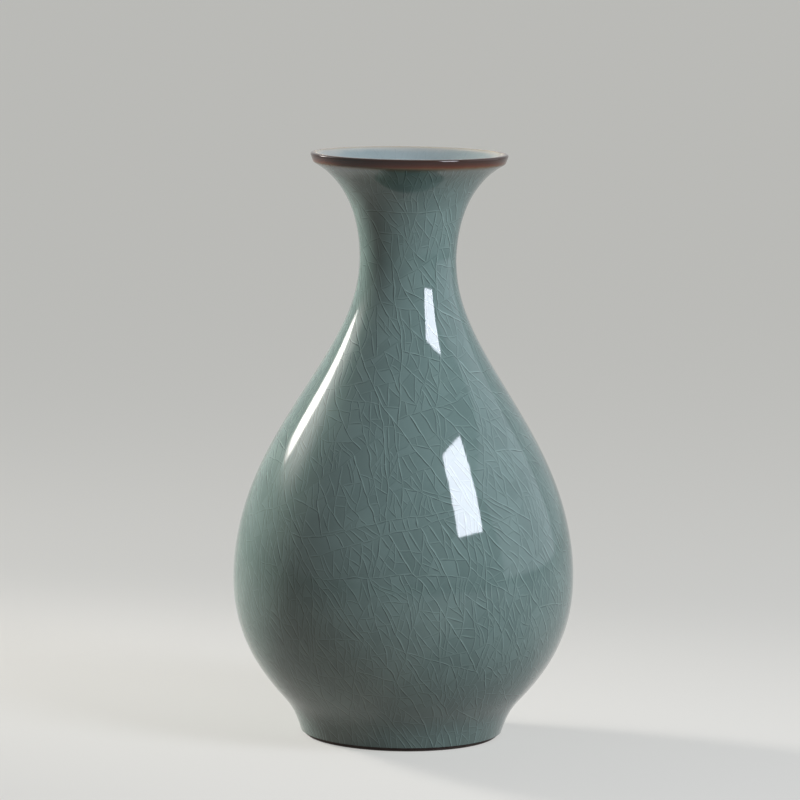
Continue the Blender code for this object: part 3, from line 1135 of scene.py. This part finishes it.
@dataclass
class GlazedWall:
    """The outer coat, the brown lip and the lining, whose faces follow one smooth line."""

    lathe: Lathe
    step: float = 3.0 * MM
    lip_overhang: float = 0.5 * MM
    crest_round: float = 1.4 * MM
    band_foot_round: float = 2.0 * MM
    crest_end_round: float = 4.0 * MM
    lip_steps: int = 10
    fine_step: float = 0.5 * MM
    segments: int = 160
    roll_steps: int = 6
    lining_crackle_from: float = 215 * MM
    outer_seed: int = 11
    outer_strength: float = 1.35
    lining_seed: int = 23
    lining_strength: float = 0.5
    outer_cells: tuple[CellSize, ...] = (
        CellSize(0.0, 10 * MM, 5.0 * MM, math.radians(20)),
        CellSize(60 * MM, 10 * MM, 5.2 * MM, math.radians(34)),
        CellSize(100 * MM, 11.5 * MM, 6.0 * MM, math.radians(39)),
        CellSize(190 * MM, 13 * MM, 6.7 * MM, math.radians(36)),
        CellSize(240 * MM, 13 * MM, 6.7 * MM, math.radians(32)),
        CellSize(335 * MM, 9.5 * MM, 6.0 * MM, math.radians(24)),
    )

    def __post_init__(self) -> None:
        """Reads the faces from the frame and runs one line over all three."""
        outer, self.outer_back = sorted(long_faces("outer_glaze"), key=lambda face: -face[:, 0].mean())
        inner, self.lining_back = sorted(long_faces("inner_glaze"), key=lambda face: face[:, 0].mean())
        lip, self.lip_back = long_faces("rim_glaze")
        outer, inner, lip = rising(outer), rising(inner)[::-1], rising(lip, 0)[::-1]
        self.lip_start = len(outer) - 1
        self.lip_end = self.lip_start + len(lip) - 1
        self.line = SmoothLine(np.vstack((outer[:-1], lip, inner[1:])))
        self.floor_edge = len(self.line.stations) - 1
        self.outer_seam, self.inner_seam = float(lip[0, 1]), float(lip[-1, 1])
        self.lip_centre = float(lip[np.argmax(lip[:, 1]), 0]), float(lip[np.argmax(lip[:, 0]), 1])

    def crackled(self, name: str, crackle: Crackle, rest: np.ndarray,
                 finish: bpy.types.Material) -> bpy.types.Object:
        """Turns the plain faces of a coat and sews the crackled face to them.

        Args:
            name: Name of the piece.
            crackle: The crackle of its face.
            rest: Rows of radius and height from below the crackled face, behind it, to its upper end.
            finish: The glaze.

        Returns:
            The closed piece.
        """
        piece = self.lathe.turn(name, rest, self.segments, finish)
        shell = bmesh.new()
        cells = crackle.build(shell)
        face_verts = list(shell.verts)
        face_rings = open_rings(face_verts)
        shell.from_mesh(piece.data)
        rest_rings = open_rings(list(shell.verts)[len(face_verts):])
        for face_ring, rest_ring in zip(face_rings, rest_rings):
            sew(shell, face_ring, rest_ring)
        bmesh.ops.recalc_face_normals(shell, faces=shell.faces[:])
        shell.to_mesh(piece.data)
        shell.free()
        crackle.shade(piece.data)
        log.info("%s has %d crackle cells", name, cells)
        return piece

    def outer_coat(self, finish: bpy.types.Material) -> bpy.types.Object:
        """Builds the crackled outer coat, which ends in a soft roll above the bare foot.

        Args:
            finish: The glaze.

        Returns:
            The piece.
        """
        points = self.line.between(0, self.lip_start, self.fine_step)
        back = rising(self.outer_back)
        thick = np.linalg.norm(points[0] - back[0])
        kept = points[np.linalg.norm(points - points[0], axis=1) > thick / 2]
        back_end = back[0] + kept[0] - points[0]
        roll = half_round(kept[0], back_end, self.roll_steps)
        crackle = Crackle(FaceLine(kept, 1.0), self.outer_cells, self.outer_seed, self.outer_strength)
        return self.crackled("crackled_coat", crackle, np.vstack((roll, back_end, back[1:])), finish)

    def lip(self, finish: bpy.types.Material) -> bpy.types.Object:
        """Turns the brown lip between the two coats: a band that leans out to a narrow round crest.

        Args:
            finish: The brown glaze.

        Returns:
            The piece.
        """
        stations = self.line.stations[self.lip_start:self.lip_end + 1]
        outer_seam, band_foot, *_, crest_end, inner_seam = stations
        widest, top = stations.max(axis=0)
        slope = (crest_end - inner_seam) / (crest_end - inner_seam)[1]
        crest = np.array(((widest + self.lip_overhang, top), crest_end + slope * (top - crest_end[1])))
        back = rising(self.lip_back, 0)
        corners = np.vstack((outer_seam, band_foot, crest, inner_seam, back))
        radii = [0.0, self.band_foot_round, self.crest_round, self.crest_end_round, 0.0] + [0.0] * len(back)
        return self.lathe.turn("brown_lip", eased(corners, radii, self.lip_steps), self.segments, finish)

    def lining(self, finish: bpy.types.Material) -> bpy.types.Object:
        """Builds the lining, which is crackled as far down as the mouth shows it.

        Args:
            finish: The glaze.

        Returns:
            The piece.
        """
        points = self.line.between(self.lip_end, self.floor_edge, self.fine_step)
        shown = points[:, 1] > self.lining_crackle_from
        lower = points[~shown][:: round(self.step / self.fine_step)]
        back = rising(self.lining_back)
        axis = np.array(((0.0, points[-1, 1]), (0.0, back[0, 1])))
        face = FaceLine(points[shown][::-1], -1.0)
        crackle = Crackle(face, self.outer_cells, self.lining_seed, self.lining_strength)
        return self.crackled("lining", crackle, np.vstack((lower, points[-1:], axis, back)), finish)


@dataclass
class Foot:
    """The bare foot ring and the glazed recess inside it."""

    lathe: Lathe
    segments: int = 160
    worn_edge: float = 0.9 * MM
    inner_edge: float = 0.3 * MM
    pooled_corner: float = 2.5 * MM
    coat_edge: float = 0.45 * MM

    def ring(self, finish: bpy.types.Material) -> bpy.types.Object:
        """Turns the foot ring with its worn edges.

        Args:
            finish: The bare clay.

        Returns:
            The piece.
        """
        outline = read_outline("foot_ring")
        low = outline[:, 1].min()
        radii = [self.worn_edge if row[1] - low < 2 * self.worn_edge else self.inner_edge for row in outline]
        return self.lathe.turn("bare_foot", eased(outline, radii), self.segments, finish)

    def recess(self, finish: bpy.types.Material) -> bpy.types.Object:
        """Turns the glaze of the recess, which pools in its corner.

        Args:
            finish: The glaze.

        Returns:
            The piece.
        """
        under, low_in, low_out, top = rising(read_outline("base_glaze"))
        corners = np.vstack(((0.0, under[1]), under, low_in, low_out, top, (0.0, top[1])))
        radii = [0.0, self.pooled_corner, self.coat_edge, self.coat_edge, 0.0, 0.0]
        return self.lathe.turn("recess_coat", eased(corners, radii)[:-1], self.segments, finish)


@dataclass(frozen=True)
class Softbox:
    """A rectangular studio light that faces the middle of the vase, and that the glaze may mirror."""

    name: str
    azimuth: float
    elevation: float
    distance: float
    width: float
    height: float
    brightness: float
    colour: str
    turn: float = 0.0
    fan: float = 180.0
    fade: float = 0.004
    slant: float = 0.0
    mirrored: bool = True

    def mask(self, lamp: bpy.types.AreaLight) -> None:
        """Masks the panel: its light fades towards the sides, and its upper and lower sides may slant.

        Args:
            lamp: The light.
        """
        lamp.use_nodes = True
        tree = lamp.node_tree
        spot = add_node(tree, "ShaderNodeNewGeometry").outputs["Parametric"]
        across, up = add_node(tree, "ShaderNodeSeparateXYZ", {0: spot}).outputs[:2]
        # Places on the panel run from 0 to 1 both ways.
        half = 0.5
        offset = add_node(tree, "ShaderNodeMath", {0: across, 1: half}, operation="SUBTRACT")
        level = add_node(tree, "ShaderNodeMath", {0: offset, 1: self.slant, 2: up}, operation="MULTIPLY_ADD")
        shares = []
        for place, reach in ((across, half), (level, half - abs(self.slant) / 2)):
            side = add_node(tree, "ShaderNodeMath", {0: place, 1: half}, operation="SUBTRACT")
            away = add_node(tree, "ShaderNodeMath", {0: side}, operation="ABSOLUTE")
            shares.append(add_node(
                tree, "ShaderNodeMapRange",
                {"Value": away, "From Min": reach, "From Max": reach - self.fade},
                interpolation_type="SMOOTHSTEP",
            ))
        share = add_node(tree, "ShaderNodeMath", dict(enumerate(shares)), operation="MULTIPLY")
        fill(tree, tree.nodes["Emission"], {"Strength": share})

    def place(self, middle: Vector) -> None:
        """Hangs the light, with a grid over it where it fans out less than half way round.

        Args:
            middle: The point that it faces.
        """
        side, rise = math.radians(self.azimuth), math.radians(self.elevation)
        away = Vector((math.sin(side) * math.cos(rise), -math.cos(side) * math.cos(rise), math.sin(rise)))
        lamp = bpy.data.lights.new(self.name, "AREA")
        lamp.shape = "RECTANGLE"
        lamp.size, lamp.size_y = self.width, self.height
        half_fan = math.radians(self.fan) / 2
        gain = math.tan(half_fan) / (math.tan(half_fan) - half_fan) if self.fan < 180 else 1.0
        lamp.spread = 2 * half_fan
        lamp.energy = self.brightness * math.pi * self.width * self.height / gain
        lamp.color = linear(self.colour)[:3]
        self.mask(lamp)
        light = bpy.data.objects.new(self.name, lamp)
        light.location = middle + away * self.distance
        facing = away.to_track_quat("Z", "Y") @ Euler((0.0, 0.0, math.radians(self.turn))).to_quaternion()
        light.rotation_euler = facing.to_euler()
        light.visible_glossy = self.mirrored
        bpy.context.scene.collection.objects.link(light)


@dataclass
class Studio:
    """The pale floor, the soft light and the camera at the photograph's angle."""

    floor_radius: float = 30.0
    floor_segments: int = 96
    floor_drop: float = 0.05 * MM
    floor_roughness: float = 0.8
    floor_colour: str = "#dcdcd8"
    bounce_colour: str = "#776f66"
    air_colour: str = "#cbcccb"
    ambient: float = 0.16
    floor_glow: float = 0.62
    camera_distance: float = 2.63
    camera_height: float = 0.521
    camera_side: float = -0.0034
    camera_pitch: float = 7.10
    camera_roll: float = 0.83
    sensor_width: float = 36.0
    image_width: int = 800
    focal_pixels: float = 4633.0
    softboxes: tuple[Softbox, ...] = (
        Softbox(
            "window_softbox", azimuth=49.0, elevation=30.8, distance=1.3, width=0.425, height=0.71,
            brightness=16.5, colour="#eef2ff", turn=-6.0, slant=-0.06,
        ),
        Softbox(
            "back_softbox", azimuth=-127.0, elevation=15.0, distance=1.3, width=0.21, height=0.28,
            brightness=210.0, colour="#fff8f2", fan=45.0, mirrored=False,
        ),
        Softbox(
            "streak_softbox", azimuth=-124.0, elevation=24.5, distance=1.2, width=0.29, height=0.36,
            brightness=18.0, colour="#fff8f2", fade=0.34,
        ),
        Softbox(
            "back_scrim", azimuth=-115.0, elevation=27.0, distance=1.35, width=1.1, height=0.75,
            brightness=3.0, colour="#fff9f4", fade=0.5,
        ),
        Softbox(
            "side_panel", azimuth=97.0, elevation=18.0, distance=1.6, width=1.8, height=1.3,
            brightness=0.65, colour="#eef3ff", fade=0.05,
        ),
    )

    def floor(self) -> None:
        """Lays the floor, which looks pale and scatters less light than it shows."""
        disc = bmesh.new()
        bmesh.ops.create_circle(
            disc, cap_ends=True, segments=self.floor_segments, radius=self.floor_radius,
            matrix=Matrix.Translation((0.0, 0.0, -self.floor_drop)),
        )
        mesh = bpy.data.meshes.new("floor")
        disc.to_mesh(mesh)
        disc.free()
        floor = bpy.data.objects.new("floor", mesh)
        bpy.context.scene.collection.objects.link(floor)
        material, tree, shader = new_material("pale studio floor")
        seen = self.seen_directly(tree)
        colour = add_node(
            tree, "ShaderNodeMix",
            {"Factor": seen, 6: linear(self.bounce_colour), 7: linear(self.floor_colour)}, data_type="RGBA",
        )
        fill(tree, shader, {"Base Color": colour, "Roughness": self.floor_roughness})
        glow = add_node(tree, "ShaderNodeEmission", {"Color": linear(self.floor_colour)})
        share = add_node(tree, "ShaderNodeMath", {0: seen, 1: self.floor_glow}, operation="MULTIPLY")
        mixed = add_node(tree, "ShaderNodeMixShader", {0: share, 1: shader, 2: glow})
        fill(tree, tree.nodes["Material Output"], {"Surface": mixed})
        mesh.materials.append(material)

    @staticmethod
    def seen_directly(tree: bpy.types.NodeTree) -> bpy.types.Node:
        """Tells rays that see a surface from light that scatters off it.

        Args:
            tree: The tree of the surface.

        Returns:
            A node that gives 1 on rays from the camera, in reflections and through glass, and 0 on others.
        """
        path = add_node(tree, "ShaderNodeLightPath").outputs
        seen = path["Is Camera Ray"]
        for ray in ("Is Glossy Ray", "Is Transmission Ray"):
            seen = add_node(tree, "ShaderNodeMath", {0: seen, 1: path[ray]}, operation="MAXIMUM")
        return seen

    def air(self) -> None:
        """Fills the studio with soft light under a pale sky."""
        world = bpy.data.worlds.new("studio air")
        world.use_nodes = True
        tree = world.node_tree
        seen = self.seen_directly(tree)
        strength = add_node(tree, "ShaderNodeMapRange", {"Value": seen, "To Min": self.ambient})
        fill(tree, tree.nodes["Background"], {"Strength": strength, "Color": linear(self.air_colour)})
        bpy.context.scene.world = world

    def camera(self) -> None:
        """Sets the camera up."""
        data = bpy.data.cameras.new("camera")
        data.sensor_width = self.sensor_width
        data.lens = self.focal_pixels * data.sensor_width / self.image_width
        camera = bpy.data.objects.new("camera", data)
        camera.location = (self.camera_side, -self.camera_distance, self.camera_height)
        level = Euler((math.radians(90.0 - self.camera_pitch), 0.0, 0.0)).to_matrix()
        camera.rotation_euler = (level @ Matrix.Rotation(math.radians(self.camera_roll), 3, "Z")).to_euler()
        bpy.context.scene.collection.objects.link(camera)
        bpy.context.scene.camera = camera

    def build(self, middle: Vector) -> None:
        """Sets up the whole studio.

        Args:
            middle: The point that the lights face.
        """
        self.floor()
        self.air()
        for softbox in self.softboxes:
            softbox.place(middle)
        self.camera()
        bpy.context.scene.view_settings.view_transform = "Standard"


def seat(piece: bpy.types.Object, node: str) -> None:
    """Puts a finished piece on the frame in place of its node.

    Args:
        piece: The piece.
        node: The CAD node that it stands for.
    """
    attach(piece, BODY)
    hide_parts(node)
    log.info("%s stands for %s with %d faces", piece.name, node, len(piece.data.polygons))


def main() -> None:
    """Builds the pieces, dresses the clay under them and sets up the studio."""
    logging.basicConfig(level=logging.INFO, format="%(name)s: %(message)s")
    lathe = Lathe()
    wall = GlazedWall(lathe)
    foot = Foot(lathe)
    glaze = CeladonGlaze("celadon glaze", edge_height=wall.outer_seam)
    # The lining glaze is painted lighter than the outer one, as light falls into the mouth from above; the
    # pale edge at the lip is the glaze thinning.
    lining = replace(
        glaze, name="celadon lining painted lighter", body="#a0b0b0", deep="#99aaaa", pale="#a7b6b6", stain_and_painted_shade="#7b8b8a",
        painted_glint="#b3c0c0", edge="#bcbfb8", edge_height=wall.inner_seam, edge_drop=2.4,
    )
    brown = IronBrownGlaze("iron-brown lip glaze", wall.lip_centre).material()
    bare = FiredClay("toasted bare stoneware", "#4a3f3b", "#2b1f1b").material()
    biscuit = FiredClay("biscuit stoneware", "#a79a8b", "#93826f").material()
    slip = FiredClay("luting slip", "#8d8173", "#7d7062", grit=0.4, grit_depth=0.03).material()
    celadon = glaze.material()
    seat(wall.outer_coat(celadon), "outer_glaze")
    seat(wall.lip(brown), "rim_glaze")
    seat(wall.lining(lining.material()), "inner_glaze")
    seat(foot.ring(bare), "foot_ring")
    seat(foot.recess(celadon), "base_glaze")
    clay = dict.fromkeys(("lower_body", "upper_body", "neck"), biscuit)
    slips = dict.fromkeys(("foot_joint_slip", "belly_joint_slip", "neck_joint_slip"), slip)
    for node, finish in (clay | slips).items():
        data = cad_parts[node].data
        for place in range(len(data.materials)):
            data.materials[place] = finish
        log.info("%s is dressed in %s", node, finish.name)
    low, high = CAD_BOX
    Studio().build((low + high) / 2)


if __name__ == "__main__":
    main()
